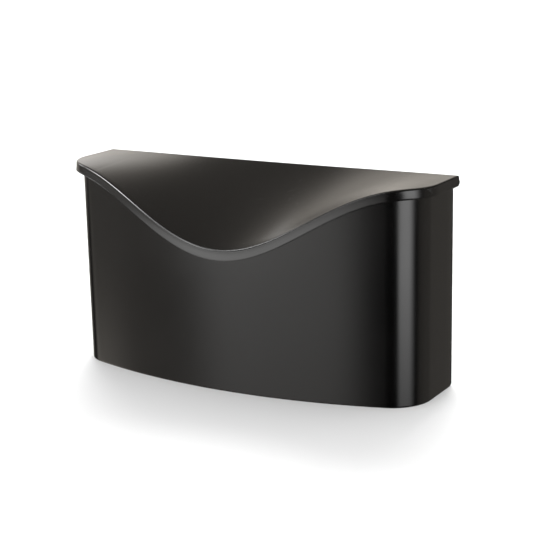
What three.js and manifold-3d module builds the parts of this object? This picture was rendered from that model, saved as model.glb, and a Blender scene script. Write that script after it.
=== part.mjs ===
// A wall letter box: a sheet steel case with a bowed front, and a moulded lid shaped like the flap
// of an envelope that swings up on two pins at the top of the back plate.
//
// Millimetres. X runs along the width, +Y points at the wall, +Z is up. Heights below are measured
// from the underside of the case. The last lines move the origin to the point on the wall plane that
// lies midway between the two keyhole seats.

import * as THREE from 'three';
import { mergeVertices } from 'three/addons/utils/BufferGeometryUtils.js';
import Module from 'manifold-3d';

const wasm = await Module();
wasm.setup();

// ---- driving dimensions ----

const CASE_HALF_WIDTH = 183.5;
const SIDE_DEPTH = 76; // where the front arc would meet the flat side
const FRONT_DEPTH = 108.5; // at the middle of the bow
const CORNER_RADIUS = 38.5;
const LID_TOP = 199; // height of the lid's level rear edge

const DIP_DEPTH = 64.5; // how far the lid's front edge dips at the middle
const DIP_HALF_WIDTH = 180;
const LID_SIDE_OVERHANG = 7.3;
const LID_FRONT_OVERHANG = 5.4;
const LID_REAR_GAP = 3; // from the wall plane to the rear ends of the lid's skirt
const LID_EDGE_ROUND = 1.6;
const LID_SKIN = 2.4;
const SKIRT_WALL = 2.4;
const SKIRT_HEIGHT = 9.5;
const SKIRT_LEAN = 0.7; // how far the skirt's top leans inwards
const RIB_X = [-150, -90, -30, 30, 90, 150];
const RIB_HALF_WIDTH = 0.8;
const RIB_DEPTH = 5;
const RIB_HINGE_GAP = 8; // from the pins' axis to the ribs
const RIB_RIM_GAP = 9; // from the case's outer face to the ribs

const WRAP_SHEET = 1.2;
const BACK_SHEET = 1.5;
const BACK_CORNER_RADIUS = 2;
const BEND_RADIUS = 2;
const FLANGE_WIDTH = 14;
const HEM_HEIGHT = 5;
const HEM_THICKNESS = 1.9; // of the wrap's folded rim
const NOTCH_DEPTH = 12; // of the step in the wrap's rear ends, in which the lid's rear edge turns
const LIP_HALF_LENGTH = 105; // of the back plate's folded top edge
const LIP_DEPTH = 8;
const RIM_GAP = 2; // from the lid's underside to the case's rim
const GAP = 0.3; // between pieces that lie against each other
const SMALL_GAP = 0.15;
const THROUGH = 1; // how far a cut runs past the faces that it goes through

const PIVOT_Y = -6;
const PIVOT_DROP = 4.5; // below the lid's top
const BACK_DROP = 9.7; // from the lid's top to the top of the back plate
const PIN_RADIUS = 1.5;
const PIN_CLEARANCE = 0.12;
const EAR_RADIUS = 3;
const EAR_SHEET = 1.5;
const EAR_NECK_TURN = Math.PI / 3; // from level to where the ear's round end meets its rear edge
const EAR_ROOT_RISE = 4; // from the leaf's lower edge to the foot of its ears
const EAR_FRONT_LENGTH = 8; // of the ear's straight front edge, below the pin
const EAR_ROOT_INSET = 0.2; // from the leaf's rear face to the ear's rear edge
const LUG_RADIUS = 3.2;
const LUG_WIDTH = 8;
const LUG_RELIEF = 0.4; // by which the lug's web is flatter than its eye, on the side of the wall
const LUG_ROOM = 0.4; // round the ears' ends in the lid's skin
const LUG_SIDE_ROOM = 1.2; // past the ends of the pin
const BRACKET_X = 130;
const LEAF_HALF_WIDTH = 17;
const LEAF_BOTTOM_DROP = 34; // from the lid's top
const LEAF_TOP_GAP = 1; // from the leaf's top to the back plate's top

const PIN_HEAD_RADIUS = 2.6;
const PIN_HEAD_LENGTH = 1;
const PIN_TAIL_LENGTH = 1.6; // past the outer ear
const PIN_CHAMFER = 0.3;
const GROOVE_DEPTH = 0.4;
const CLIP_SHEET = 0.6;
const CLIP_WIDTH = 1.2; // from the clip's inner edge to its outer edge
const CLIP_HALF_OPENING = Math.PI / 5;

const KEYHOLE_X = 100;
const KEYHOLE_HEIGHT = 150; // of the seat where the screw's neck rests
const KEYHOLE_SLOT_RADIUS = 2.6;
const KEYHOLE_ENTRY_RADIUS = 5;
const KEYHOLE_TRAVEL = 12;
const LOWER_HOLE_HEIGHT = 34;
const LOWER_HOLE_RADIUS = 2.75;

const PAN_FLANGE = 11;
const DRAIN_RADIUS = 3;
const DRAIN_X = [-135, -45, 45, 135];
const DRAIN_Y = -48;

const RIVET_RADIUS = 1.6;
const RIVET_HEAD_RADIUS = 3.1;
const RIVET_HEAD_DEPTH = 1.1;
const RIVET_TAIL_RADIUS = 2.8;
const RIVET_TAIL_HEIGHT = 1.3;
const SIDE_RIVET_INSET = 7.8; // from the case's side
const SIDE_RIVET_HEIGHTS = [26, 96, 166];
const FLOOR_RIVET_X = [-110, 0, 110];
const FLOOR_RIVET_HEIGHT = 6.5;
const BRACKET_RIVET_INSET = 5; // from the leaf's ends
const BRACKET_RIVET_RISE = 9; // from the leaf's lower edge

const BUMPER_RADIUS = 3.2;

const ARC_STEPS = 40;
const CORNER_STEPS = 9;
const BEND_STEPS = 4;
const CAP_ROWS = 4;
const RIB_STEPS = 6;
const HOLE_STEPS = 8;
const EAR_STEPS = 10;
const CLIP_STEPS = 12;
const TAIL_STEPS = 3;
const ROUND_SEGMENTS = 20;
const RIVET_SEGMENTS = 12;

const PIVOT_Z = LID_TOP - PIVOT_DROP;
const BACK_TOP = LID_TOP - BACK_DROP;
const WRAP_REAR = -(BACK_SHEET + GAP);
const LEAF_BOTTOM = LID_TOP - LEAF_BOTTOM_DROP;
const LEAF_TOP = BACK_TOP - LEAF_TOP_GAP;
const FORK_HALF_WIDTH = LUG_WIDTH / 2 + GAP + EAR_SHEET;

// ---- materials ----

const blackSteel = new THREE.MeshStandardMaterial({ color: 0x1b1b1b, roughness: 0.28, metalness: 0.1 });
const blackPlastic = new THREE.MeshStandardMaterial({ color: 0x1d1c1a, roughness: 0.22, metalness: 0 });
const zincSteel = new THREE.MeshStandardMaterial({ color: 0x9a9c9e, roughness: 0.35, metalness: 0.9 });
const blackRubber = new THREE.MeshStandardMaterial({ color: 0x141414, roughness: 0.8, metalness: 0 });

// ---- the plan outline ----

// Half-width, depth and radius of the case's plan, grown outwards by side and front.
function planOf(side, front) {
  const halfWidth = CASE_HALF_WIDTH + side;
  const depth = FRONT_DEPTH + front;
  const bow = FRONT_DEPTH - SIDE_DEPTH;
  const radius = CORNER_RADIUS + front;
  const arcRadius = (halfWidth * halfWidth + bow * bow) / (2 * bow);
  const arcCentreY = arcRadius - depth;
  const cornerX = halfWidth - radius;
  const cornerY = arcCentreY - Math.sqrt((arcRadius - radius) ** 2 - cornerX ** 2);
  return { halfWidth, radius, arcRadius, arcCentreY, cornerX, cornerY };
}

// Points from the right side's front end, round the right corner, along the bow and round the left
// corner to the left side's front end.
function frontCurve(plan) {
  const { radius, arcRadius, arcCentreY, cornerX, cornerY } = plan;
  const meet = Math.atan2(cornerX, arcCentreY - cornerY);
  const sweep = Math.PI / 2 - meet;
  const right = [];
  for (let i = 0; i <= CORNER_STEPS; i += 1) {
    const turn = (sweep * i) / CORNER_STEPS;
    right.push([cornerX + radius * Math.cos(turn), cornerY - radius * Math.sin(turn)]);
  }
  const bow = [];
  for (let i = 1; i < ARC_STEPS; i += 1) {
    const turn = meet - (2 * meet * i) / ARC_STEPS;
    bow.push([arcRadius * Math.sin(turn), arcCentreY - arcRadius * Math.cos(turn)]);
  }
  const left = right.map(([x, y]) => [-x, y]).reverse();
  return [...right, ...bow, ...left];
}

const LID_PLAN = planOf(LID_SIDE_OVERHANG, LID_FRONT_OVERHANG);

// The lid plan's front as a function of x.
function lidFrontY(x) {
  const { radius, arcRadius, arcCentreY, cornerX, cornerY } = LID_PLAN;
  const across = Math.min(Math.abs(x), LID_PLAN.halfWidth);
  const bow = arcCentreY - Math.sqrt(arcRadius ** 2 - across ** 2);
  if (across <= cornerX) return bow;
  const corner = cornerY - Math.sqrt(Math.max(radius ** 2 - (across - cornerX) ** 2, 0));
  return Math.max(bow, corner);
}

// The lid's top surface: level at its rear edge and its ends, dipping towards the front edge in a
// cosine wave, with straight lines from rear to front.
function lidSurface(x, y) {
  const across = Math.min(Math.abs(x) / DIP_HALF_WIDTH, 1);
  const wave = (1 + Math.cos(Math.PI * across)) / 2;
  const forward = (-LID_REAR_GAP - y) / (-LID_REAR_GAP - lidFrontY(x));
  return LID_TOP - DIP_DEPTH * wave * Math.max(forward, 0);
}

// ---- mesh helpers ----

function toGeometry(positions, indices) {
  const geometry = new THREE.BufferGeometry();
  geometry.setAttribute('position', new THREE.Float32BufferAttribute(positions, 3));
  geometry.setIndex(indices);
  return geometry;
}

function toSolid(geometry) {
  const plain = geometry.clone();
  plain.deleteAttribute('normal');
  plain.deleteAttribute('uv');
  const merged = mergeVertices(plain);
  const vertProperties = new Float32Array(merged.getAttribute('position').array);
  const triVerts = new Uint32Array(merged.getIndex().array);
  return new wasm.Manifold(new wasm.Mesh({ numProp: 3, vertProperties, triVerts }));
}

function fromSolid(solid) {
  const mesh = solid.getMesh();
  const geometry = toGeometry(mesh.vertProperties, Array.from(mesh.triVerts));
  geometry.computeVertexNormals();
  return geometry;
}

// Volume by the divergence theorem, positive when the faces point out.
function signedVolume(positions, indices) {
  let total = 0;
  const corner = [new THREE.Vector3(), new THREE.Vector3(), new THREE.Vector3()];
  for (let i = 0; i < indices.length; i += 3) {
    corner.forEach((v, k) => v.fromArray(positions, 3 * indices[i + k]));
    total += corner[0].dot(corner[1].cross(corner[2])) / 6;
  }
  return total;
}

function outward(positions, indices) {
  if (signedVolume(positions, indices) > 0) return toGeometry(positions, indices);
  const flipped = [];
  for (let i = 0; i < indices.length; i += 3) flipped.push(indices[i], indices[i + 2], indices[i + 1]);
  return toGeometry(positions, flipped);
}

// Joins a row of closed upright sections, each a loop of [x, y, z], and fills the first and the last.
// across gives a point's place along the section's level direction.
function loft(sections, across) {
  const size = sections[0].length;
  const positions = sections.flat(2);
  const indices = [];
  for (let s = 0; s + 1 < sections.length; s += 1) {
    for (let k = 0; k < size; k += 1) {
      const a = s * size + k;
      const b = s * size + ((k + 1) % size);
      indices.push(a, b, b + size, a, b + size, a + size);
    }
  }
  const flat = sections[0].map((p) => new THREE.Vector2(across(p), p[2]));
  const clockwise = THREE.ShapeUtils.isClockWise(flat);
  const last = (sections.length - 1) * size;
  for (const face of THREE.ShapeUtils.triangulateShape(flat, [])) {
    const [a, b, c] = face;
    if (clockwise) {
      indices.push(a, b, c, last + a, last + c, last + b);
    } else {
      indices.push(a, c, b, last + a, last + b, last + c);
    }
  }
  return outward(positions, indices);
}

// A slab over the lid's plan. Each ring is the plan moved inwards by inset and set below the lid's
// surface by drop, from the lowest ring to the highest. rear is the y of its rear edge, and rows is
// how many strips its top and bottom have from front to rear.
function lidSlab(rings, rear, rows) {
  const positions = [];
  const indices = [];
  const count = frontCurve(LID_PLAN).length;
  const loop = 2 * (count + rows - 1);
  for (const { inset, drop } of rings) {
    const front = frontCurve(planOf(LID_SIDE_OVERHANG - inset, LID_FRONT_OVERHANG - inset));
    const back = front.map(([x]) => [x, rear - inset]).reverse();
    const leftSide = between(front.at(-1), back[0], rows);
    const rightSide = between(back.at(-1), front[0], rows);
    const ring = [...front, ...leftSide, ...back, ...rightSide];
    for (const [x, y] of ring) positions.push(x, y, lidSurface(x, y) - drop);
  }
  for (let ring = 0; ring + 1 < rings.length; ring += 1) {
    for (let k = 0; k < loop; k += 1) {
      const a = ring * loop + k;
      const b = ring * loop + ((k + 1) % loop);
      indices.push(a, b, b + loop, a, b + loop, a + loop);
    }
  }
  addRuledCap(positions, indices, 0, count, rows, rings[0].drop, true);
  addRuledCap(positions, indices, (rings.length - 1) * loop, count, rows, rings.at(-1).drop, false);
  return outward(positions, indices);
}

// The points that split the line from one point to another into equal steps.
function between(from, to, steps) {
  const points = [];
  for (let i = 1; i < steps; i += 1) {
    points.push([from[0] + ((to[0] - from[0]) * i) / steps, from[1] + ((to[1] - from[1]) * i) / steps]);
  }
  return points;
}

// Fills a ring of the slab with rows of quads that run from its front curve to its rear edge.
function addRuledCap(positions, indices, start, count, rows, drop, facesDown) {
  const inner = positions.length / 3;
  const backEnd = start + 2 * count + rows - 2;
  for (let row = 1; row < rows; row += 1) {
    for (let k = 1; k + 1 < count; k += 1) {
      const x = positions[3 * (start + k)];
      const front = positions[3 * (start + k) + 1];
      const back = positions[3 * (backEnd - k) + 1];
      const y = front + ((back - front) * row) / rows;
      positions.push(x, y, lidSurface(x, y) - drop);
    }
  }
  const at = (row, k) => {
    if (row === 0) return start + k;
    if (row === rows) return backEnd - k;
    if (k === 0) return backEnd + rows - row;
    if (k === count - 1) return start + count - 1 + row;
    return inner + (row - 1) * (count - 2) + k - 1;
  };
  for (let row = 0; row < rows; row += 1) {
    for (let k = 0; k + 1 < count; k += 1) {
      const quad = [at(row, k), at(row, k + 1), at(row + 1, k + 1), at(row + 1, k)];
      if (facesDown) quad.reverse();
      indices.push(quad[0], quad[1], quad[2], quad[0], quad[2], quad[3]);
    }
  }
}

function boxSolid(low, high) {
  const geometry = new THREE.BoxGeometry(high[0] - low[0], high[1] - low[1], high[2] - low[2]);
  geometry.translate((low[0] + high[0]) / 2, (low[1] + high[1]) / 2, (low[2] + high[2]) / 2);
  return toSolid(geometry);
}

// A closed turned solid. profile is a list of [radius, height] that starts and ends on the axis.
function turned(profile, segments = ROUND_SEGMENTS) {
  return new THREE.LatheGeometry(profile.map(([r, h]) => new THREE.Vector2(r, h)), segments);
}

function rod(radius, length, segments = ROUND_SEGMENTS) {
  return turned([[0, 0], [radius, 0], [radius, length], [0, length]], segments);
}

// Lays a solid turned about the Y axis along X, from x outwards on the side given by its sign.
function alongX(geometry, x, y, z, side = 1) {
  return geometry.rotateZ((-side * Math.PI) / 2).translate(x, y, z);
}

// Turns an extruded (y, z) profile so that its depth runs along X.
function facingSideways(geometry) {
  return geometry.rotateX(Math.PI / 2).rotateZ(Math.PI / 2);
}

// Turns a lathe solid so that its height runs away from the wall, from the wall plane forwards.
function fromWall(geometry, x, z) {
  return geometry.rotateX(Math.PI).translate(x, 0, z);
}

// ---- the case ----

// The wrap's path at a distance inset from its outer face, from one rear flange's edge to the other.
function wrapPath(inset) {
  const plan = planOf(-inset, -inset);
  const bend = BEND_RADIUS - inset;
  const bendX = CASE_HALF_WIDTH - BEND_RADIUS;
  const bendY = WRAP_REAR - BEND_RADIUS;
  const right = [[CASE_HALF_WIDTH - FLANGE_WIDTH, WRAP_REAR - inset]];
  for (let i = 0; i <= BEND_STEPS; i += 1) {
    const turn = (Math.PI / 2) * (1 - i / BEND_STEPS);
    right.push([bendX + bend * Math.cos(turn), bendY + bend * Math.sin(turn)]);
  }
  const left = right.map(([x, y]) => [-x, y]).reverse();
  return [...right, ...frontCurve(plan), ...left];
}

function frontWrap() {
  const outer = wrapPath(0);
  const middle = wrapPath(WRAP_SHEET);
  const inner = wrapPath(HEM_THICKNESS);
  const sections = outer.map(([x, y], k) => {
    const rim = lidSurface(x, y) - LID_SKIN - RIM_GAP;
    const [mx, my] = middle[k];
    const [ix, iy] = inner[k];
    return [
      [x, y, 0],
      [x, y, rim],
      [ix, iy, rim],
      [ix, iy, rim - HEM_HEIGHT],
      [mx, my, rim - HEM_HEIGHT],
      [mx, my, 0],
    ];
  });
  const wide = CASE_HALF_WIDTH + THROUGH;
  const notch = boxSolid([-wide, -NOTCH_DEPTH, BACK_TOP], [wide, THROUGH, LID_TOP]);
  let wrap = toSolid(loft(sections, (p) => p[1])).subtract(notch);
  for (const spot of SIDE_RIVETS) wrap = wrap.subtract(rivetHole(spot));
  return fromSolid(wrap);
}

// A block over the floor pan's plan, at a distance inside its outer faces. Its rear edge steps forwards
// at the ends, to pass the wrap's rear flanges.
function panBlock(inside, bottom, top) {
  const inset = WRAP_SHEET + GAP + inside;
  const plan = planOf(-inset, -inset);
  const flangeX = CASE_HALF_WIDTH - FLANGE_WIDTH - GAP - inside;
  const stepY = WRAP_REAR - inset;
  const rear = [[-plan.halfWidth, stepY], [-flangeX, stepY], [-flangeX, WRAP_REAR - inside]];
  const points = [...frontCurve(plan), ...rear, ...rear.map(([x, y]) => [-x, y]).reverse()];
  const shape = new THREE.Shape(points.map(([x, y]) => new THREE.Vector2(x, y)));
  const block = new THREE.ExtrudeGeometry(shape, { depth: top - bottom, bevelEnabled: false });
  return toSolid(block.translate(0, 0, bottom));
}

function floorPan() {
  const outside = panBlock(0, 0, PAN_FLANGE);
  let pan = outside.subtract(panBlock(WRAP_SHEET, WRAP_SHEET, PAN_FLANGE + THROUGH));
  for (const x of DRAIN_X) {
    const drain = rod(DRAIN_RADIUS, WRAP_SHEET + 2 * THROUGH).rotateX(Math.PI / 2);
    pan = pan.subtract(toSolid(drain.translate(x, DRAIN_Y, -THROUGH)));
  }
  for (const spot of FLOOR_RIVETS) pan = pan.subtract(rivetHole(spot));
  return fromSolid(pan);
}

// A keyhole outline: a round entry with a narrower slot above it, whose top seats the screw's neck.
function keyhole(x, seat) {
  const path = new THREE.Path();
  const entry = seat - KEYHOLE_TRAVEL;
  const half = Math.asin(KEYHOLE_SLOT_RADIUS / KEYHOLE_ENTRY_RADIUS);
  const up = Math.PI / 2;
  path.absarc(x, seat, KEYHOLE_SLOT_RADIUS, Math.PI, 0, true);
  path.absarc(x, entry, KEYHOLE_ENTRY_RADIUS, up - half, up + half, true);
  path.closePath();
  return path;
}

function backPlate() {
  const corner = BACK_CORNER_RADIUS;
  const cornerX = CASE_HALF_WIDTH - SMALL_GAP - corner;
  const shape = new THREE.Shape();
  shape.absarc(cornerX, corner, corner, -Math.PI / 2, 0);
  shape.absarc(cornerX, BACK_TOP - corner, corner, 0, Math.PI / 2);
  shape.absarc(-cornerX, BACK_TOP - corner, corner, Math.PI / 2, Math.PI);
  shape.absarc(-cornerX, corner, corner, Math.PI, 1.5 * Math.PI);
  for (const side of [-1, 1]) {
    shape.holes.push(keyhole(side * KEYHOLE_X, KEYHOLE_HEIGHT));
    const fixing = new THREE.Path();
    fixing.absarc(side * KEYHOLE_X, LOWER_HOLE_HEIGHT, LOWER_HOLE_RADIUS, 0, 2 * Math.PI, true);
    shape.holes.push(fixing);
  }
  const options = { depth: BACK_SHEET, bevelEnabled: false, curveSegments: HOLE_STEPS };
  const sheet = toSolid(new THREE.ExtrudeGeometry(shape, options).rotateX(Math.PI / 2));
  const lip = boxSolid(
    [-LIP_HALF_LENGTH, -LIP_DEPTH, BACK_TOP - BACK_SHEET],
    [LIP_HALF_LENGTH, -BACK_SHEET / 2, BACK_TOP],
  );
  let plate = sheet.add(lip);
  for (const spot of [...SIDE_RIVETS, ...FLOOR_RIVETS, ...BRACKET_RIVETS]) {
    plate = plate.subtract(rivetHole(spot));
  }
  return fromSolid(plate);
}

// ---- rivets ----

// Each rivet has its x and z, and the depth of the stack that it clamps, from the wall plane.
const SHEET_STACK = WRAP_SHEET - WRAP_REAR;
const SIDE_RIVET_X = CASE_HALF_WIDTH - SIDE_RIVET_INSET;
const SIDE_RIVETS = [-1, 1].flatMap((side) =>
  SIDE_RIVET_HEIGHTS.map((z) => ({ x: side * SIDE_RIVET_X, z, stack: SHEET_STACK })));
const FLOOR_RIVETS = FLOOR_RIVET_X.map((x) => ({ x, z: FLOOR_RIVET_HEIGHT, stack: SHEET_STACK }));
const BRACKET_RIVETS = [-1, 1].flatMap((side) =>
  [-1, 1].map((end) => ({
    x: side * BRACKET_X + end * (LEAF_HALF_WIDTH - BRACKET_RIVET_INSET),
    z: LEAF_BOTTOM + BRACKET_RIVET_RISE,
    stack: EAR_SHEET - WRAP_REAR,
  })));

// The hole that a rivet goes through, countersunk on the side of the wall.
function rivetHole({ x, z, stack }) {
  const headRadius = RIVET_HEAD_RADIUS + SMALL_GAP;
  const shankRadius = RIVET_RADIUS + SMALL_GAP;
  const profile = [
    [0, -THROUGH],
    [headRadius, -THROUGH],
    [headRadius, 0],
    [shankRadius, RIVET_HEAD_DEPTH + SMALL_GAP],
    [shankRadius, stack + THROUGH],
    [0, stack + THROUGH],
  ];
  return toSolid(fromWall(turned(profile, RIVET_SEGMENTS + 2), x, z));
}

// A rivet with a flush conical head on the side of the wall and a domed tail inside the case.
function rivet({ x, z, stack }) {
  const foot = stack + SMALL_GAP;
  const profile = [[0, 0], [RIVET_HEAD_RADIUS, 0], [RIVET_RADIUS, RIVET_HEAD_DEPTH], [RIVET_RADIUS, foot]];
  for (let i = 0; i < TAIL_STEPS; i += 1) {
    const turn = (Math.PI / 2) * (i / TAIL_STEPS);
    profile.push([RIVET_TAIL_RADIUS * Math.cos(turn), foot + RIVET_TAIL_HEIGHT * Math.sin(turn)]);
  }
  profile.push([0, foot + RIVET_TAIL_HEIGHT]);
  return fromWall(turned(profile, RIVET_SEGMENTS), x, z);
}

// ---- the hinge ----

// One of the bracket's two ears, which carry the pin. left is the x of its left face.
function hingeEar(left) {
  const rear = WRAP_REAR - EAR_ROOT_INSET;
  const profile = new THREE.Shape();
  profile.moveTo(rear, LEAF_BOTTOM + EAR_ROOT_RISE);
  profile.lineTo(rear, LEAF_TOP);
  profile.lineTo(PIVOT_Y + EAR_RADIUS * Math.cos(EAR_NECK_TURN), LEAF_TOP);
  profile.absarc(PIVOT_Y, PIVOT_Z, EAR_RADIUS, -EAR_NECK_TURN, Math.PI, false);
  profile.lineTo(PIVOT_Y - EAR_RADIUS, PIVOT_Z - EAR_FRONT_LENGTH);
  const bore = new THREE.Path();
  bore.absarc(PIVOT_Y, PIVOT_Z, PIN_RADIUS + PIN_CLEARANCE, 0, 2 * Math.PI, true);
  profile.holes.push(bore);
  const options = { depth: EAR_SHEET, bevelEnabled: false, curveSegments: EAR_STEPS };
  return facingSideways(new THREE.ExtrudeGeometry(profile, options)).translate(left, 0, 0);
}

// A leaf on the back plate with two ears that reach up and forwards to the pin.
function hingeBracket(side) {
  const centre = side * BRACKET_X;
  let bracket = boxSolid(
    [centre - LEAF_HALF_WIDTH, WRAP_REAR - EAR_SHEET, LEAF_BOTTOM],
    [centre + LEAF_HALF_WIDTH, WRAP_REAR, LEAF_TOP],
  );
  for (const left of [centre - FORK_HALF_WIDTH, centre + FORK_HALF_WIDTH - EAR_SHEET]) {
    bracket = bracket.add(toSolid(hingeEar(left)));
  }
  for (const spot of BRACKET_RIVETS) bracket = bracket.subtract(rivetHole(spot));
  return fromSolid(bracket);
}

// A headed pin that goes in from the middle of the box, with a groove near its outer end.
function hingePin(side) {
  const fork = PIN_HEAD_LENGTH + 2 * (FORK_HALF_WIDTH + SMALL_GAP);
  const grooveEnd = fork + CLIP_SHEET + 2 * SMALL_GAP;
  const tip = fork + PIN_TAIL_LENGTH + PIN_CHAMFER;
  const profile = [
    [0, 0],
    [PIN_HEAD_RADIUS - PIN_CHAMFER, 0],
    [PIN_HEAD_RADIUS, PIN_CHAMFER],
    [PIN_HEAD_RADIUS, PIN_HEAD_LENGTH],
    [PIN_RADIUS, PIN_HEAD_LENGTH],
    [PIN_RADIUS, fork],
    [PIN_RADIUS - GROOVE_DEPTH, fork],
    [PIN_RADIUS - GROOVE_DEPTH, grooveEnd],
    [PIN_RADIUS, grooveEnd],
    [PIN_RADIUS, tip - PIN_CHAMFER],
    [PIN_RADIUS - PIN_CHAMFER, tip],
    [0, tip],
  ];
  const start = side * (BRACKET_X - FORK_HALF_WIDTH - SMALL_GAP - PIN_HEAD_LENGTH);
  return alongX(turned(profile), start, PIVOT_Y, PIVOT_Z, side);
}

// An open ring that snaps into the pin's groove, open towards the front.
function hingeClip(side) {
  const inner = PIN_RADIUS - GROOVE_DEPTH + SMALL_GAP;
  const outer = inner + CLIP_WIDTH;
  const ring = new THREE.Shape();
  ring.absarc(0, 0, outer, Math.PI + CLIP_HALF_OPENING, Math.PI - CLIP_HALF_OPENING, false);
  ring.absarc(0, 0, inner, Math.PI - CLIP_HALF_OPENING, Math.PI + CLIP_HALF_OPENING, true);
  const options = { depth: CLIP_SHEET, bevelEnabled: false, curveSegments: CLIP_STEPS };
  const clip = facingSideways(new THREE.ExtrudeGeometry(ring, options));
  const middle = side * (BRACKET_X + FORK_HALF_WIDTH + 2 * SMALL_GAP + CLIP_SHEET / 2);
  return clip.translate(middle - CLIP_SHEET / 2, PIVOT_Y, PIVOT_Z);
}

// ---- the lid ----

// The moulding: a skin with a rounded edge and a skirt, open at the rear.
function lidShell() {
  const lean = SKIRT_LEAN;
  const round = LID_EDGE_ROUND;
  const eased = round * (1 - Math.SQRT1_2);
  const outer = lidSlab([
    { inset: 0, drop: SKIRT_HEIGHT },
    { inset: lean, drop: round },
    { inset: lean + eased, drop: eased },
    { inset: lean + round, drop: 0 },
  ], -LID_REAR_GAP, CAP_ROWS);
  const hollow = lidSlab([
    { inset: SKIRT_WALL, drop: SKIRT_HEIGHT + THROUGH },
    { inset: lean + SKIRT_WALL, drop: LID_SKIN },
  ], lean + SKIRT_WALL + THROUGH, CAP_ROWS);
  let lid = toSolid(outer).subtract(toSolid(hollow));
  for (const side of [-1, 1]) lid = addHingeLug(lid, side * BRACKET_X);
  for (const x of RIB_X) lid = lid.add(ribSolid(x));
  return fromSolid(lid);
}

// A lug that hangs from the skin round the pin, with room cut in the skin over the bracket's ears.
function addHingeLug(lid, centre) {
  const start = centre - LUG_WIDTH / 2;
  const eye = toSolid(alongX(rod(LUG_RADIUS, LUG_WIDTH), start, PIVOT_Y, PIVOT_Z));
  const web = boxSolid(
    [start, PIVOT_Y - LUG_RADIUS, PIVOT_Z],
    [start + LUG_WIDTH, PIVOT_Y + LUG_RADIUS - LUG_RELIEF, LID_TOP - LID_SKIN / 2],
  );
  const roomHalf = FORK_HALF_WIDTH + PIN_TAIL_LENGTH + LUG_SIDE_ROOM;
  const room = alongX(rod(EAR_RADIUS + LUG_ROOM, 2 * roomHalf), centre - roomHalf, PIVOT_Y, PIVOT_Z);
  const boreRadius = PIN_RADIUS + PIN_CLEARANCE;
  const bore = alongX(rod(boreRadius, LUG_WIDTH + 2 * THROUGH), start - THROUGH, PIVOT_Y, PIVOT_Z);
  return lid.subtract(toSolid(room)).add(eye.add(web)).subtract(toSolid(bore));
}

// A low stiffening rib under the skin, from just in front of the hinge to just behind the rim.
function ribSolid(centre) {
  const rear = PIVOT_Y - RIB_HINGE_GAP;
  const front = lidFrontY(centre) + LID_FRONT_OVERHANG + RIB_RIM_GAP;
  const left = centre - RIB_HALF_WIDTH;
  const right = centre + RIB_HALF_WIDTH;
  const sections = [];
  for (let i = 0; i <= RIB_STEPS; i += 1) {
    const y = rear + ((front - rear) * i) / RIB_STEPS;
    sections.push([
      [left, y, lidSurface(left, y) - LID_SKIN / 2],
      [right, y, lidSurface(right, y) - LID_SKIN / 2],
      [right, y, lidSurface(right, y) - LID_SKIN - RIB_DEPTH],
      [left, y, lidSurface(left, y) - LID_SKIN - RIB_DEPTH],
    ]);
  }
  return toSolid(loft(sections, (p) => p[0]));
}

// A soft pad on the lid's underside, above the rim of the case. Its faces follow the lid.
function lidBumper(x, y) {
  const size = ROUND_SEGMENTS;
  const ring = [];
  for (let i = 0; i < size; i += 1) {
    const turn = (2 * Math.PI * i) / size;
    ring.push([x + BUMPER_RADIUS * Math.cos(turn), y + BUMPER_RADIUS * Math.sin(turn)]);
  }
  const at = (drop) => ring.map(([px, py]) => [px, py, lidSurface(px, py) - drop]);
  const high = at(LID_SKIN + SMALL_GAP);
  const low = at(LID_SKIN + RIM_GAP - SMALL_GAP);
  const positions = [...low, ...high].flat();
  const indices = [];
  for (let k = 0; k < size; k += 1) {
    const next = (k + 1) % size;
    indices.push(k, next, next + size, k, next + size, k + size);
  }
  for (let k = 1; k + 1 < size; k += 1) indices.push(0, k + 1, k, size, size + k, size + k + 1);
  return outward(positions, indices);
}

// ---- the assembly ----

const letterBox = new THREE.Group();

function place(name, geometry, material) {
  const mesh = new THREE.Mesh(geometry, material);
  mesh.name = name;
  letterBox.add(mesh);
}

place('front_wrap', frontWrap(), blackSteel);
place('floor_pan', floorPan(), blackSteel);
place('back_plate', backPlate(), blackSteel);
SIDE_RIVETS.forEach((spot, i) => place(`side_rivet_${i + 1}`, rivet(spot), zincSteel));
FLOOR_RIVETS.forEach((spot, i) => place(`floor_rivet_${i + 1}`, rivet(spot), zincSteel));
BRACKET_RIVETS.forEach((spot, i) => place(`bracket_rivet_${i + 1}`, rivet(spot), zincSteel));

for (const [word, side] of [['left', -1], ['right', 1]]) {
  place(`hinge_bracket_${word}`, hingeBracket(side), zincSteel);
  place(`hinge_pin_${word}`, hingePin(side), zincSteel);
  place(`hinge_clip_${word}`, hingeClip(side), zincSteel);
}

place('lid_shell', lidShell(), blackPlastic);
const rimX = CASE_HALF_WIDTH - WRAP_SHEET;
place('lid_bumper_left', lidBumper(-rimX, -SIDE_DEPTH / 2), blackRubber);
place('lid_bumper_right', lidBumper(rimX, -SIDE_DEPTH / 2), blackRubber);
place('lid_bumper_front', lidBumper(0, WRAP_SHEET - FRONT_DEPTH), blackRubber);

letterBox.position.z = -KEYHOLE_HEIGHT;

export default letterBox;
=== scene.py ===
"""The looks of a wall letter box: a black steel case with a bowed front, and a gloss lid shaped like
an envelope's flap. Shapes are built in millimetres above the underside of the case and put into the
frame, in metres, when each mesh is finished."""

import math
from collections import namedtuple

import bmesh
import bpy
from mathutils import Matrix, Vector


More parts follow.
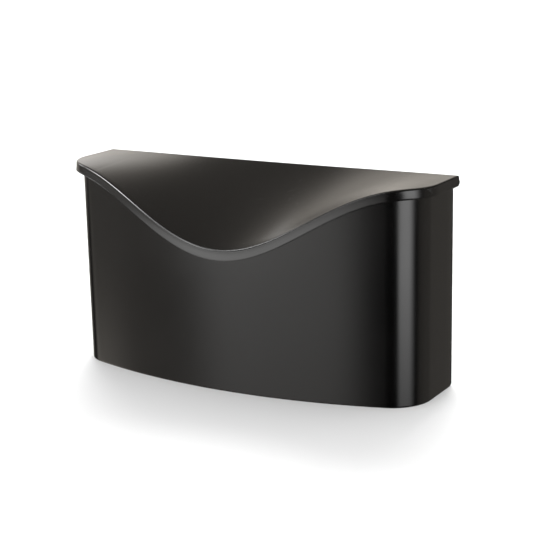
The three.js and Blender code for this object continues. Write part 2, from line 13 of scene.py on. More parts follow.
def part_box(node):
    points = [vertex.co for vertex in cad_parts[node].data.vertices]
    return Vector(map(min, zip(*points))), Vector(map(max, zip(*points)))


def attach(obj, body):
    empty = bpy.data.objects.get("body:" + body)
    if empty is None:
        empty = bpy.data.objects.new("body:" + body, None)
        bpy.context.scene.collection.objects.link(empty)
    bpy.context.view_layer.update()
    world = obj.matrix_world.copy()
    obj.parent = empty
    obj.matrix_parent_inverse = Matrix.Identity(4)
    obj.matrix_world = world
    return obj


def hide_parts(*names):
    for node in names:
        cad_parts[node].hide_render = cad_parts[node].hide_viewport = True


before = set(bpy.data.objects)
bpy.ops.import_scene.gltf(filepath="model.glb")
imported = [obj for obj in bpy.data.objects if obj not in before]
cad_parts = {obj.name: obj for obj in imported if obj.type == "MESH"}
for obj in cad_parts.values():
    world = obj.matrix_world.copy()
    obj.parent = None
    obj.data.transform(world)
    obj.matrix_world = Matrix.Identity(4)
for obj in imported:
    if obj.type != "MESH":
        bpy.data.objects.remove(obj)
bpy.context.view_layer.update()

MM = 0.001

# ---- sizes read from the frame, in millimetres ----

wrap_low, wrap_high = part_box("front_wrap")
lid_low, lid_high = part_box("lid_shell")
_, plate_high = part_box("back_plate")
_, pan_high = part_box("floor_pan")
leaf_low, leaf_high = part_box("hinge_bracket_right")
pin_low, pin_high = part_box("hinge_pin_right")

UNDERSIDE = wrap_low.z
CASE_HALF_WIDTH = wrap_high.x / MM
FRONT_DEPTH = -wrap_low.y / MM
LID_SIDE = lid_high.x / MM - CASE_HALF_WIDTH
LID_FRONT = -lid_low.y / MM - FRONT_DEPTH
LID_TOP = (lid_high.z - UNDERSIDE) / MM
BACK_TOP = (plate_high.z - UNDERSIDE) / MM
PAN_FLANGE = (pan_high.z - UNDERSIDE) / MM
WRAP_REAR = wrap_high.y / MM
LEAF_BOTTOM = (leaf_low.z - UNDERSIDE) / MM
BRACKET_X = (leaf_low.x + leaf_high.x) / 2 / MM
LEAF_HALF_WIDTH = (leaf_high.x - leaf_low.x) / 2 / MM
PIVOT_Y = (pin_low.y + pin_high.y) / 2 / MM
PIVOT_Z = ((pin_low.z + pin_high.z) / 2 - UNDERSIDE) / MM

# ---- the sizes of the design that the boxes don't show, in millimetres ----

SIDE_DEPTH = 76
CORNER_RADIUS = 38.5
DIP_DEPTH = 64.5
DIP_HALF_WIDTH = 180
LID_REAR_GAP = 3
LID_SKIN = 2.4
LID_ROUND = 1.7
SKIRT_WALL = 2.4
SKIRT_HEIGHT = 9.5
SKIRT_LEAN = 0.7
SKIRT_LEAN_CURVE = 1.5
SKIRT_EDGE = 0.6
SKIRT_FILLET = 1
SKIRT_END_RADIUS = 4
SKIRT_DROPS = (2.2, 3.0, 4.2, 5.4, 6.6, 7.7)
RIB_PLACES = (-150, -90, -30, 30, 90, 150)
RIB_HALF_WIDTH = 0.8
RIB_DEPTH = 5
RIB_HINGE_GAP = 8
RIB_RIM_GAP = 9
RIB_END_SHARE = 0.35
RIB_END_SLOPE = 5
BUMPER_RADIUS = 3.2
BUMPER_EDGE = 0.45

SHEET = 1.2
BACK_SHEET = 1.5
BACK_CORNER_RADIUS = 2
BEND_RADIUS = 2
FLANGE_WIDTH = 14
HEM_HEIGHT = 5
HEM_THICKNESS = 1.9
HEM_EDGE = 0.2
NOTCH_DEPTH = 12
NOTCH_HALF_STEP = 0.02
TRAY_BEND = 1.8
TRAY_EDGE = 0.25
LIP_DEPTH = 8
LIP_BEND = 2.2
LIP_BRACKET_GAP = 8
RIM_GAP = 2

# The play between parts, how far a cutter runs past a face, the rounding of a sheet's edges, and how far
# from a bend a row of vertices lies that keeps the wall beyond it flat.
GAP = 0.3
THROUGH = 1
EDGE = 0.3
SUPPORT = 1.6

LUG_RADIUS = 3.2
LUG_WIDTH = 8
LUG_RELIEF = 0.4
LUG_WEB_FLARE = 1.2
LUG_ROOM = 0.4
LUG_SIDE_ROOM = 1.2
EAR_RADIUS = 3
EAR_SHEET = 1.5
EAR_EDGE = 0.2
EAR_OFFSET = LUG_WIDTH / 2 + GAP
EAR_NECK_TURN = 60
EAR_ROOT_RISE = 4
EAR_ROOT_INSET = 0.3
EAR_FRONT_LENGTH = 8
LEAF_TOP_GAP = 1
LEAF_CORNER_RADIUS = 3
PIN_RADIUS = 1.5
PIN_CLEARANCE = 0.12
PIN_EDGE = 0.1
PIN_CHAMFER = 0.3
PIN_TAIL_LENGTH = 1.6
PIN_HEAD_OVERHANG = 1.1
PIN_HEAD_LENGTH = 1
PIN_HEAD_ROUND = ((0.35, 0), (0.1, 0.1), (0, 0.3))
GROOVE_DEPTH = 0.4
CLIP_SHEET = 0.6
CLIP_WIDTH = 1.2
CLIP_EDGE = 0.1
CLIP_HALF_OPENING = 36

KEYHOLE_X = 100
KEYHOLE_HEIGHT = 150
KEYHOLE_SLOT_RADIUS = 2.6
KEYHOLE_ENTRY_RADIUS = 5
KEYHOLE_TRAVEL = 12
LOWER_HOLE_HEIGHT = 34
LOWER_HOLE_RADIUS = 2.75
DRAIN_RADIUS = 3
DRAIN_PLACES = (-135, -45, 45, 135)
DRAIN_Y = -48

# The dish is in radii and depths, and the tail's curve in shares of its radius and height.
RIVET_RADIUS = 1.6
RIVET_HEAD_RADIUS = 3.1
RIVET_HEAD_DEPTH = 1.1
RIVET_HEAD_EDGE = ((0.5, 0.03), (0.15, 0.06), (0, 0.16))
RIVET_DISH = ((0, 0.28), (0.9, 0.26), (1.25, 0.12), (1.5, 0.06))
RIVET_TAIL_RADIUS = 2.8
RIVET_TAIL_HEIGHT = 1.3
RIVET_TAIL_EDGE = ((0.2, 0), (0, 0.15))
RIVET_TAIL_CURVE = ((1, 0.4), (0.9, 0.68), (0.66, 0.88), (0.35, 0.97), (0, 1))
RIVET_ROOM = 0.1
RIVET_HOLE_RUN = 3
SIDE_RIVET_INSET = 7.8
SIDE_RIVET_HEIGHTS = (26, 96, 166)
FLOOR_RIVET_PLACES = (-110, 0, 110)
FLOOR_RIVET_HEIGHT = 6.5
BRACKET_RIVET_INSET = 5
BRACKET_RIVET_RISE = 9

BOW_STEPS = 220
CORNER_STEPS = 30
CAP_ROWS = 20
ROUND_STEPS = 6
ROUND_SEGMENTS = 48
EDGE_STEPS = 3
HEM_STEPS = 8
PLATE_CORNER_STEPS = 8
RIB_STEPS = 24
RIB_EDGE_STEPS = 8
HINGE_STEPS = 24
SLOT_STEPS = 20
CLIP_STEPS = 40

# ---- the plan and the lid's surface ----

Plan = namedtuple("Plan", "half arc centre_y radius corner_x corner_y")


def plan_of(side, front):
    """The case's plan, grown outwards by side and front: a bow with a round corner at each end."""
    half = CASE_HALF_WIDTH + side
    bow = FRONT_DEPTH - SIDE_DEPTH
    arc = (half * half + bow * bow) / (2 * bow)
    centre_y = arc - (FRONT_DEPTH + front)
    radius = CORNER_RADIUS + front
    corner_x = half - radius
    corner_y = centre_y - math.sqrt((arc - radius) ** 2 - corner_x ** 2)
    return Plan(half, arc, centre_y, radius, corner_x, corner_y)


def front_curve(plan):
    """Points from the front end of the right side, round the corner and along the bow, to the left."""
    meet = math.atan2(plan.corner_x, plan.centre_y - plan.corner_y)
    right = []
    for i in range(CORNER_STEPS + 1):
        turn = (math.pi / 2 - meet) * i / CORNER_STEPS
        x = plan.corner_x + plan.radius * math.cos(turn)
        right.append((x, plan.corner_y - plan.radius * math.sin(turn)))
    bow = []
    for i in range(1, BOW_STEPS):
        turn = meet - 2 * meet * i / BOW_STEPS
        bow.append((plan.arc * math.sin(turn), plan.centre_y - plan.arc * math.cos(turn)))
    left = [(-x, y) for x, y in reversed(right)]
    return right + bow + left


LID_PLAN = plan_of(LID_SIDE, LID_FRONT)


def lid_front_y(x):
    """How far forward the lid's plan reaches at x."""
    across = min(abs(x), LID_PLAN.half)
    bow = LID_PLAN.centre_y - math.sqrt(LID_PLAN.arc ** 2 - across ** 2)
    if across <= LID_PLAN.corner_x:
        return bow
    reach = max(LID_PLAN.radius ** 2 - (across - LID_PLAN.corner_x) ** 2, 0)
    return max(bow, LID_PLAN.corner_y - math.sqrt(reach))


def lid_surface(x, y):
    """Height of the lid's top: level at the rear and the ends, dipping in a wave towards the front."""
    wave = (1 + math.cos(math.pi * min(abs(x) / DIP_HALF_WIDTH, 1))) / 2
    forward = (-LID_REAR_GAP - y) / (-LID_REAR_GAP - lid_front_y(x))
    return LID_TOP - DIP_DEPTH * wave * max(forward, 0)


# ---- mesh helpers ----


def arc_points(centre_u, centre_v, radius, start, end, steps=ROUND_STEPS):
    """Points on an arc, angles in degrees, both ends included."""
    points = []
    for i in range(steps + 1):
        turn = math.radians(start + (end - start) * i / steps)
        points.append((centre_u + radius * math.cos(turn), centre_v + radius * math.sin(turn)))
    return points


def circle(centre_u, centre_v, radius, segments=ROUND_SEGMENTS):
    """The corners of a closed circle."""
    return arc_points(centre_u, centre_v, radius, 0, 360 - 360 / segments, segments - 1)


def between(a, b, steps):
    """The points that split the line from a to b into equal steps, without its ends."""
    return [tuple(p + (q - p) * i / steps for p, q in zip(a, b)) for i in range(1, steps)]


def new_object(name, verts, faces):
    """A mesh object in millimetres, its faces turned outwards."""
    mesh = bpy.data.meshes.new(name)
    mesh.from_pydata(verts, [], faces)
    bm = bmesh.new()
    bm.from_mesh(mesh)
    bmesh.ops.recalc_face_normals(bm, faces=bm.faces)
    bm.to_mesh(mesh)
    bm.free()
    made = bpy.data.objects.new(name, mesh)
    bpy.context.scene.collection.objects.link(made)
    return made


def sweep(name, sections):
    """Joins closed sections of equal size, one after another, and fills the first and the last."""
    size = len(sections[0])
    verts = [p for section in sections for p in section]
    faces = []
    for start in range(0, len(verts) - size, size):
        for k in range(size):
            turn = (k + 1) % size
            faces.append((start + k, start + turn, start + size + turn, start + size + k))
    faces.append(tuple(range(size)))
    faces.append(tuple(range(len(verts) - size, len(verts))))
    return new_object(name, verts, faces)


def turned(name, profile):
    """A turned solid about Z. profile is a list of (radius, height) that starts and ends on the axis."""
    inner = profile[1:-1]
    verts = [(0, 0, profile[0][1]), (0, 0, profile[-1][1])]
    for i in range(ROUND_SEGMENTS):
        turn = 2 * math.pi * i / ROUND_SEGMENTS
        verts.extend((r * math.cos(turn), r * math.sin(turn), h) for r, h in inner)
    faces = []
    for i in range(ROUND_SEGMENTS):
        a = 2 + i * len(inner)
        b = 2 + (i + 1) % ROUND_SEGMENTS * len(inner)
        faces.append((0, a, b))
        faces.append((1, b + len(inner) - 1, a + len(inner) - 1))
        faces.extend((a + k, a + k + 1, b + k + 1, b + k) for k in range(len(inner) - 1))
    return new_object(name, verts, faces)


MERGE_DISTANCE = 0.0001
LEVEL = 0.999


def plate(name, outline, holes, thickness, edge=EDGE):
    """A flat plate with rounded edges in the XY plane, from z 0 up to its thickness."""
    curve = bpy.data.curves.new(name, "CURVE")
    curve.dimensions = "2D"
    curve.fill_mode = "BOTH"
    curve.extrude = thickness / 2 - edge
    curve.bevel_depth = edge
    curve.bevel_resolution = 2
    curve.offset = -edge
    for loop in [outline, *holes]:
        spline = curve.splines.new("POLY")
        spline.points.add(len(loop) - 1)
        for point, (u, v) in zip(spline.points, loop):
            point.co = (u, v, 0, 1)
        spline.use_cyclic_u = True
    drawn = bpy.data.objects.new(name, curve)
    bpy.context.scene.collection.objects.link(drawn)
    bpy.context.view_layer.update()
    mesh = bpy.data.meshes.new_from_object(drawn)
    bpy.data.objects.remove(drawn)
    bm = bmesh.new()
    bm.from_mesh(mesh)
    bmesh.ops.remove_doubles(bm, verts=bm.verts, dist=MERGE_DISTANCE)
    bmesh.ops.translate(bm, verts=bm.verts, vec=(0, 0, thickness / 2))
    bmesh.ops.recalc_face_normals(bm, faces=bm.faces)
    flat = [face for face in bm.faces if abs(face.normal.z) > LEVEL]
    bmesh.ops.inset_region(bm, faces=flat, thickness=edge, use_even_offset=True)
    bm.to_mesh(mesh)
    bm.free()
    made = bpy.data.objects.new(name, mesh)
    bpy.context.scene.collection.objects.link(made)
    return made


def move(piece, turn=None, by=(0, 0, 0)):
    """Turns a mesh by a matrix about the origin and then shifts it."""
    matrix = Matrix.Translation(by)
    if turn is not None:
        matrix = matrix @ turn.to_4x4()
    piece.data.transform(matrix)
    return piece


# Turns for pieces that are made in the XY plane or about Z.
ALONG_X = Matrix(((0, 0, 1), (0, 1, 0), (-1, 0, 0)))
ALONG_MINUS_X = Matrix(((0, 0, -1), (0, 1, 0), (1, 0, 0)))
FROM_WALL = Matrix(((1, 0, 0), (0, 0, -1), (0, 1, 0)))
SIDE_ON = Matrix(((0, 0, 1), (1, 0, 0), (0, 1, 0)))


def combine(target, tools, operation):
    """Joins the tools to the target, or cuts them from it, and removes them."""
    for tool in tools:
        modifier = target.modifiers.new("shape", "BOOLEAN")
        modifier.operation = operation
        modifier.solver = "EXACT"
        modifier.object = tool
    bpy.context.view_layer.update()
    graph = bpy.context.evaluated_depsgraph_get()
    mesh = bpy.data.meshes.new_from_object(target.evaluated_get(graph))
    target.modifiers.clear()
    target.data = mesh
    for tool in tools:
        bpy.data.objects.remove(tool)
    return target


# A worn face is narrower than WORN_WIDTH and bends by more than WORN_TURN at one of its long edges.
WORN_WIDTH = 0.6
WORN_TURN = math.radians(8)
WORN_EDGE_SHARE = 0.9
SHARP_TURN = math.radians(35)


def mark_edges(mesh):
    """Stores 1 on the narrow faces along rounded edges and 0 on the others, for the wear in the paint."""
    bm = bmesh.new()
    bm.from_mesh(mesh)
    values = []
    for face in bm.faces:
        longest = max(edge.calc_length() for edge in face.edges)
        along = [edge for edge in face.edges if edge.is_manifold]
        along = [edge for edge in along if edge.calc_length() > WORN_EDGE_SHARE * longest]
        bent = any(edge.calc_face_angle(0) > WORN_TURN for edge in along)
        values.append(1.0 if bent and face.calc_area() / longest < WORN_WIDTH else 0.0)
    bm.free()
    mesh.attributes.new("worn_edge", "FLOAT", "FACE").data.foreach_set("value", values)


def finish_piece(piece, body, slot, materials, *nodes):
    """Shades a mesh, puts it into the frame in metres and makes it stand for its CAD nodes."""
    mark_edges(piece.data)
    piece.data.materials.clear()
    for material in materials:
        piece.data.materials.append(material)
    piece.data.shade_smooth()
    piece.data.set_sharp_from_angle(angle=SHARP_TURN)
    piece.data.transform(Matrix.Translation((0, 0, UNDERSIDE)) @ Matrix.Scale(MM, 4))
    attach(piece, body)
    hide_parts(*nodes)
    return piece


# ---- materials ----


class Nodes:
    """A node tree, with short calls for the nodes that this script uses."""

    def __init__(self, tree):
        self.tree = tree

    def node(self, kind, **inputs):
        """A new node, its inputs given by name with "_" for a space."""
        made = self.tree.nodes.new("ShaderNode" + kind)
        for name, value in inputs.items():
            self.feed(made.inputs[name.replace("_", " ")], value)
        return made

    def feed(self, socket, value):
        """Links an output to a socket, or writes a plain value there."""
        if isinstance(value, bpy.types.NodeSocket):
            self.tree.links.new(value, socket)
        else:
            socket.default_value = value

    def range(self, value, low, high, to_low=0.0, to_high=1.0):
        """A smooth step from to_low at low to to_high at high."""
        made = self.node("MapRange", Value=value)
        made.interpolation_type = "SMOOTHSTEP"
        names = ("From Min", "From Max", "To Min", "To Max")
        for name, number in zip(names, (low, high, to_low, to_high)):
            made.inputs[name].default_value = number
        return made.outputs["Result"]

    def math(self, operation, *inputs, kind="Math", output="Value"):
        """One step of arithmetic, on numbers or, with kind VectorMath, on vectors."""
        made = self.node(kind)
        made.operation = operation
        for socket, value in zip(made.inputs, inputs):
            self.feed(socket, value)
        return made.outputs[output]


class Shader(Nodes):
    """A material's node tree."""

    def __init__(self, name):
        self.material = bpy.data.materials.new(name)
        self.material.use_nodes = True
        super().__init__(self.material.node_tree)
        self.surface = self.tree.nodes["Principled BSDF"]
        self.place = self.node("TexCoord").outputs["Object"]

    def stretched(self, scale):
        """The place, scaled by a different number along each axis."""
        return self.node("Mapping", Vector=self.place, Scale=scale).outputs["Vector"]

    def noise(self, scale, detail=2.0, roughness=0.5, place=None):
        """Cloudy noise, from 0 to 1. The scale is per metre."""
        place = place or self.place
        made = self.node("TexNoise", Vector=place, Scale=scale, Detail=detail, Roughness=roughness)
        return made.outputs["Fac"]

    def mix(self, factor, a, b):
        """Colour a at factor 0 and colour b at factor 1."""
        made = self.node("Mix")
        made.data_type = "RGBA"
        for socket, value in zip((made.inputs[0], made.inputs[6], made.inputs[7]), (factor, a, b)):
            self.feed(socket, value)
        return made.outputs[2]

    def attribute(self, name):
        """A value that the mesh stores."""
        made = self.node("Attribute")
        made.attribute_name = name
        return made.outputs["Fac"]

    def bump(self, height, distance, strength=1.0, normal=None):
        """A bumped normal, on top of another where one is given. The distance is in metres."""
        made = self.node("Bump", Height=height, Distance=distance, Strength=strength)
        if normal is not None:
            self.feed(made.inputs["Normal"], normal)
        return made.outputs["Normal"]

    def set(self, **inputs):
        """Sets the surface's inputs and hands the material back."""
        for name, value in inputs.items():
            self.feed(self.surface.inputs[name.replace("_", " ")], value)
        return self.material


def grey(value):
    """A neutral colour."""
    return (value, value, value, 1.0)


# The middle stretch of a noise's values, where most of them lie.
MIDDLE = (0.3, 0.7)
DUST = grey(0.02)


def painted_steel():
    """Black stoved paint: a faint orange peel, uneven gloss, specks of dust and rubbed edges."""
    s = Shader("painted_steel")
    cloud = s.noise(9.0, 3.0)
    peel = s.noise(420.0, 2.0, 0.6)
    grain = s.noise(2600.0, 1.0)
    specks = s.range(s.noise(1500.0, 0.0), 0.80, 0.86)
    rubbed = s.math("MULTIPLY", s.attribute("worn_edge"), s.range(s.noise(160.0, 4.0), 0.42, 0.7))
    base = s.mix(s.range(cloud, *MIDDLE), (0.0012, 0.0012, 0.0013, 1.0), (0.0018, 0.0017, 0.0017, 1.0))
    dusty = s.mix(s.math("MULTIPLY", specks, 0.5), base, DUST)
    colour = s.mix(s.math("MULTIPLY", rubbed, 0.4), dusty, (0.035, 0.033, 0.031, 1.0))
    gloss = s.math("ADD", s.range(cloud, *MIDDLE, 0.15, 0.19), s.math("MULTIPLY", grain, 0.03))
    roughness = s.math("ADD", gloss, s.math("MULTIPLY", rubbed, 0.12))
    normal = s.bump(grain, 0.000002, 0.5, normal=s.bump(peel, 0.000012, 0.5))
    return s.set(Base_Color=colour, Roughness=roughness, IOR=1.5, Normal=normal)


def gloss_plastic():
    """Black moulded plastic: a near-mirror skin with faint flow marks and hair scratches."""
    s = Shader("gloss_plastic")
    cloud = s.noise(7.0, 3.0)
    flow = s.noise(1.0, 2.0, 0.5, s.stretched((16.0, 70.0, 40.0)))
    hairs = s.range(s.noise(1.0, 1.0, 0.5, s.stretched((60.0, 3200.0, 900.0))), 0.68, 0.8)
    patches = s.range(s.noise(22.0, 2.0), 0.45, 0.65)
    scratches = s.math("MULTIPLY", hairs, patches)
    rubbed = s.math("MULTIPLY", s.attribute("worn_edge"), s.range(s.noise(240.0, 3.0), 0.45, 0.75))
    base = s.mix(s.range(cloud, *MIDDLE), (0.0014, 0.0013, 0.0012, 1.0), (0.0021, 0.0019, 0.0018, 1.0))
    colour = s.mix(s.math("MULTIPLY", rubbed, 0.25), base, DUST)
    gloss = s.math("ADD", s.range(cloud, *MIDDLE, 0.17, 0.21), s.math("MULTIPLY", flow, 0.03))
    roughness = s.math("ADD", gloss, s.math("MULTIPLY", scratches, 0.08))
    normal = s.bump(scratches, 0.000001, 0.4, normal=s.bump(flow, 0.00002, 0.3))
    return s.set(Base_Color=colour, Roughness=roughness, IOR=1.5, Normal=normal)


def matte_plastic():
    """The lid's inside: the same plastic with the fine spark texture of its mould."""
    s = Shader("matte_plastic")
    spark = s.noise(1900.0, 3.0, 0.7)
    cloud = s.noise(14.0, 3.0)
    colour = s.mix(s.range(cloud, *MIDDLE), grey(0.0055), grey(0.0085))
    roughness = s.math("ADD", s.range(cloud, *MIDDLE, 0.42, 0.5), s.math("MULTIPLY", spark, 0.12))
    return s.set(Base_Color=colour, Roughness=roughness, IOR=1.55, Normal=s.bump(spark, 0.00003, 0.6))


def plated_steel():
    """Bright zinc plate: cloudy, faintly yellow and blue, with fine draw marks."""
    s = Shader("plated_steel")
    cloud = s.noise(150.0, 3.0)
    tint = s.range(s.noise(90.0, 2.0), 0.35, 0.65)
    draw = s.noise(1.0, 2.0, 0.6, s.stretched((500.0, 500.0, 6000.0)))
    base = s.mix(tint, (0.52, 0.54, 0.58, 1.0), (0.60, 0.57, 0.50, 1.0))
    colour = s.mix(s.math("MULTIPLY", s.attribute("worn_edge"), 0.5), base, grey(0.72))
    roughness = s.math("ADD", s.range(cloud, *MIDDLE, 0.26, 0.42), s.math("MULTIPLY", draw, 0.06))
    return s.set(Base_Color=colour, Metallic=1.0, Roughness=roughness, Normal=s.bump(draw, 0.000004, 0.5))


def pad_rubber():
    """Moulded black rubber with a bloom of fine pale dust."""
    s = Shader("pad_rubber")
    grain = s.noise(2400.0, 3.0, 0.7)
    bloom = s.range(s.noise(260.0, 3.0), 0.45, 0.75)
    colour = s.mix(bloom, grey(0.010), grey(0.022))
    roughness = s.range(grain, *MIDDLE, 0.62, 0.82)
    return s.set(Base_Color=colour, Roughness=roughness, Normal=s.bump(grain, 0.00003, 0.6))


STEEL = painted_steel()
PLASTIC = gloss_plastic()
PLASTIC_INSIDE = matte_plastic()
ZINC = plated_steel()
RUBBER = pad_rubber()

# ---- the rivets ----

Rivet = namedtuple("Rivet", "name x z stack")
WRAP_STACK = -WRAP_REAR + SHEET
LEAF_STACK = -WRAP_REAR + EAR_SHEET
SIDE_RIVETS = []
for side in (-1, 1):
    for height in SIDE_RIVET_HEIGHTS:
        name = f"side_rivet_{len(SIDE_RIVETS) + 1}"
        SIDE_RIVETS.append(Rivet(name, side * (CASE_HALF_WIDTH - SIDE_RIVET_INSET), height, WRAP_STACK))
FLOOR_RIVETS = []
for x in FLOOR_RIVET_PLACES:
    name = f"floor_rivet_{len(FLOOR_RIVETS) + 1}"
    FLOOR_RIVETS.append(Rivet(name, x, FLOOR_RIVET_HEIGHT, WRAP_STACK))
BRACKET_RIVETS = []
for side in (-1, 1):
    for end in (-1, 1):
        name = f"bracket_rivet_{len(BRACKET_RIVETS) + 1}"
        x = side * BRACKET_X + end * (LEAF_HALF_WIDTH - BRACKET_RIVET_INSET)
        BRACKET_RIVETS.append(Rivet(name, x, LEAF_BOTTOM + BRACKET_RIVET_RISE, LEAF_STACK))
RIVETS = SIDE_RIVETS + FLOOR_RIVETS + BRACKET_RIVETS


def rivet_holes(rivets):
    """Cutters for the rivets' countersunk holes."""
    head = RIVET_HEAD_RADIUS + RIVET_ROOM
    shank = RIVET_RADIUS + RIVET_ROOM
    cutters = []
    for rivet in rivets:
        deep = rivet.stack + RIVET_HOLE_RUN
        profile = [(0, -THROUGH), (head, -THROUGH), (head, 0)]
        profile += [(shank, RIVET_HEAD_DEPTH + RIVET_ROOM), (shank, deep), (0, deep)]
        cutters.append(move(turned("hole", profile), FROM_WALL, (rivet.x, 0, rivet.z)))
    return cutters


def make_rivet(rivet):
    """A countersunk rivet: a slightly dished flush head, a shank and an upset tail."""
    foot = rivet.stack + GAP / 2
    profile = list(RIVET_DISH)
    profile += [(RIVET_HEAD_RADIUS - inset, depth) for inset, depth in RIVET_HEAD_EDGE]
    profile += [(RIVET_RADIUS, RIVET_HEAD_DEPTH), (RIVET_RADIUS, foot)]
    profile += [(RIVET_TAIL_RADIUS - inset, foot + height) for inset, height in RIVET_TAIL_EDGE]
    for radius, height in RIVET_TAIL_CURVE:
        profile.append((RIVET_TAIL_RADIUS * radius, foot + RIVET_TAIL_HEIGHT * height))
    made = move(turned("fine_" + rivet.name, profile), FROM_WALL, (rivet.x, 0, rivet.z))
    finish_piece(made, "case", "plated_steel", [ZINC], rivet.name)


# ---- the lid ----


def row_share(row):
    """How far forward a row lies, from 0 at the rear to 1 at the front. Rows are closer at the rear."""
    share = row / CAP_ROWS
    return share ** 2 * (2 - share)


def lid_path(inset, rear_y):
    """The lid's outline without its rear edge, from the rear right corner round to the rear left."""
    front = front_curve(plan_of(LID_SIDE - inset, LID_FRONT - inset))
    x, front_y = front[0]
    right = [(x, rear_y + (front_y - rear_y) * row_share(row)) for row in range(CAP_ROWS)]
    left = [(-x, y) for x, y in reversed(right)]
    return right + front + left


def rear_points(inset, rear_y):
    """The points of the lid's rear edge between its corners, from left to right."""
    front = front_curve(plan_of(LID_SIDE - inset, LID_FRONT - inset))
    return [(x, rear_y) for x, _ in reversed(front[1:-1])]


def add_cap(verts, faces, path, rear, drop, columns):
    """Fills a ring with rows of quads. path and rear are the numbers of the ring's vertices."""
    grid = [[None] * columns for _ in range(CAP_ROWS + 1)]
    for k in range(columns):
        grid[0][k] = path[CAP_ROWS + k]
    for row in range(CAP_ROWS + 1):
        grid[row][0] = path[CAP_ROWS - row]
        grid[row][columns - 1] = path[CAP_ROWS + columns - 1 + row]
    for i, vertex in enumerate(rear):
        grid[CAP_ROWS][columns - 2 - i] = vertex
    for k in range(1, columns - 1):
        front, back = verts[grid[0][k]], verts[grid[CAP_ROWS][k]]
        for row in range(1, CAP_ROWS):
            y = back[1] + (front[1] - back[1]) * row_share(CAP_ROWS - row)
            grid[row][k] = len(verts)
            verts.append((front[0], y, lid_surface(front[0], y) - drop))
    for row in range(CAP_ROWS):
        for k in range(columns - 1):
            faces.append((grid[row][k], grid[row][k + 1], grid[row + 1][k + 1], grid[row + 1][k]))


def skirt_inset(drop):
    """The skirt leans in a little towards its top."""
    share = (drop - LID_ROUND) / (SKIRT_HEIGHT - LID_ROUND)
    return SKIRT_LEAN * (1 - max(share, 0) ** SKIRT_LEAN_CURVE)


def lid_profile():
    """The (inset, drop) of the skirt's outer face, lower edge and inner face, below the top's rounding."""
    low = SKIRT_HEIGHT - SKIRT_EDGE
    profile = [(skirt_inset(drop), drop) for drop in (*SKIRT_DROPS, low)]
    profile += arc_points(SKIRT_EDGE, low, SKIRT_EDGE, 180, 90)[1:]
    profile += arc_points(SKIRT_WALL - SKIRT_EDGE, low, SKIRT_EDGE, 90, 0)
    profile += arc_points(SKIRT_WALL + SKIRT_FILLET, LID_SKIN + SKIRT_FILLET, SKIRT_FILLET, 180, 270)
    return profile


def skirt_drop(y, drop):
    """A depth below the top of the lid, lessened near the rear to round the skirt's lower corner."""
    root = LID_SKIN + SKIRT_FILLET
    along = min(-LID_REAR_GAP - y, SKIRT_END_RADIUS)
    lift = SKIRT_END_RADIUS - math.sqrt(SKIRT_END_RADIUS ** 2 - (SKIRT_END_RADIUS - along) ** 2)
    return drop - lift * max(drop - root, 0) / (SKIRT_HEIGHT - root)


def lid_body():
    """The lid's skin and skirt as one closed mesh, open at the rear below the skin."""
    verts, faces = [], []
    columns = len(front_curve(LID_PLAN))

    def add(points, drop):
        """Adds vertices at a depth below the lid's top and returns their numbers."""
        start = len(verts)
        verts.extend((x, y, lid_surface(x, y) - skirt_drop(y, drop)) for x, y in points)
        return list(range(start, len(verts)))

    def join(a, b):
        """Fills the strip between two rows of vertices."""
        for k in range(len(a) - 1):
            faces.append((a[k], a[k + 1], b[k + 1], b[k]))

    top = []
    for i in range(ROUND_STEPS + 1):
        turn = math.pi / 2 * i / ROUND_STEPS
        inset = LID_ROUND * (1 - math.sin(turn))
        drop = LID_ROUND * (1 - math.cos(turn))
        path = add(lid_path(inset + SKIRT_LEAN, -LID_REAR_GAP - inset), drop)
        rear = add(rear_points(inset + SKIRT_LEAN, -LID_REAR_GAP - inset), drop)
        top.append((path, rear))
    add_cap(verts, faces, top[0][0], top[0][1], 0, columns)
    for (path_a, rear_a), (path_b, rear_b) in zip(top, top[1:]):
        loop_a = path_a + rear_a + path_a[:1]
        loop_b = path_b + rear_b + path_b[:1]
        join(loop_a, loop_b)
    lower = [top[-1][0]]
    for inset, drop in lid_profile():
        lower.append(add(lid_path(inset, -LID_REAR_GAP), drop))
    for a, b in zip(lower, lower[1:]):
        join(a, b)
    inner_inset, inner_drop = lid_profile()[-1]
    inner_rear = add(rear_points(inner_inset, -LID_REAR_GAP), inner_drop)
    add_cap(verts, faces, lower[-1], inner_rear, inner_drop, columns)
    outer_edge = [top[-1][0][-1], *top[-1][1], top[-1][0][0]]
    inner_edge = [lower[-1][-1], *inner_rear, lower[-1][0]]
    join(outer_edge, inner_edge)
    for end in (0, -1):
        faces.append(tuple(ring[end] for ring in lower))
    return new_object("lid_moulding", verts, faces)


def lid_rib(centre):
    """A stiffening rib under the skin, with a rounded lower edge and ends that run out into the skin."""
    rear = PIVOT_Y - RIB_HINGE_GAP
    front = lid_front_y(centre) + LID_FRONT + RIB_RIM_GAP
    root = [(RIB_HALF_WIDTH, LID_SKIN / 2), (-RIB_HALF_WIDTH, LID_SKIN / 2)]
    edge = arc_points(0, 0, RIB_HALF_WIDTH, 180, 360, RIB_EDGE_STEPS)
    sections = []
    for i in range(RIB_STEPS + 1):
        y = rear + (front - rear) * i / RIB_STEPS
        from_end = min(i, RIB_STEPS - i) / RIB_STEPS
        depth = RIB_DEPTH * min(1.0, RIB_END_SHARE + RIB_END_SLOPE * from_end)
        section = [(centre + u, y, lid_surface(centre + u, y) - v) for u, v in root]
        for u, v in edge:
            z = lid_surface(centre + u, y) - LID_SKIN - depth + RIB_HALF_WIDTH + v
            section.append((centre + u, y, z))
        sections.append(section)
    return sweep("rib", sections)


def pivot_rod(name, radius, length, centre):
    """A cutter along the pins' axis, with its middle at x centre."""
    made = turned(name, [(0, 0), (radius, 0), (radius, length), (0, length)])
    return move(made, ALONG_X, (centre - length / 2, PIVOT_Y, PIVOT_Z))


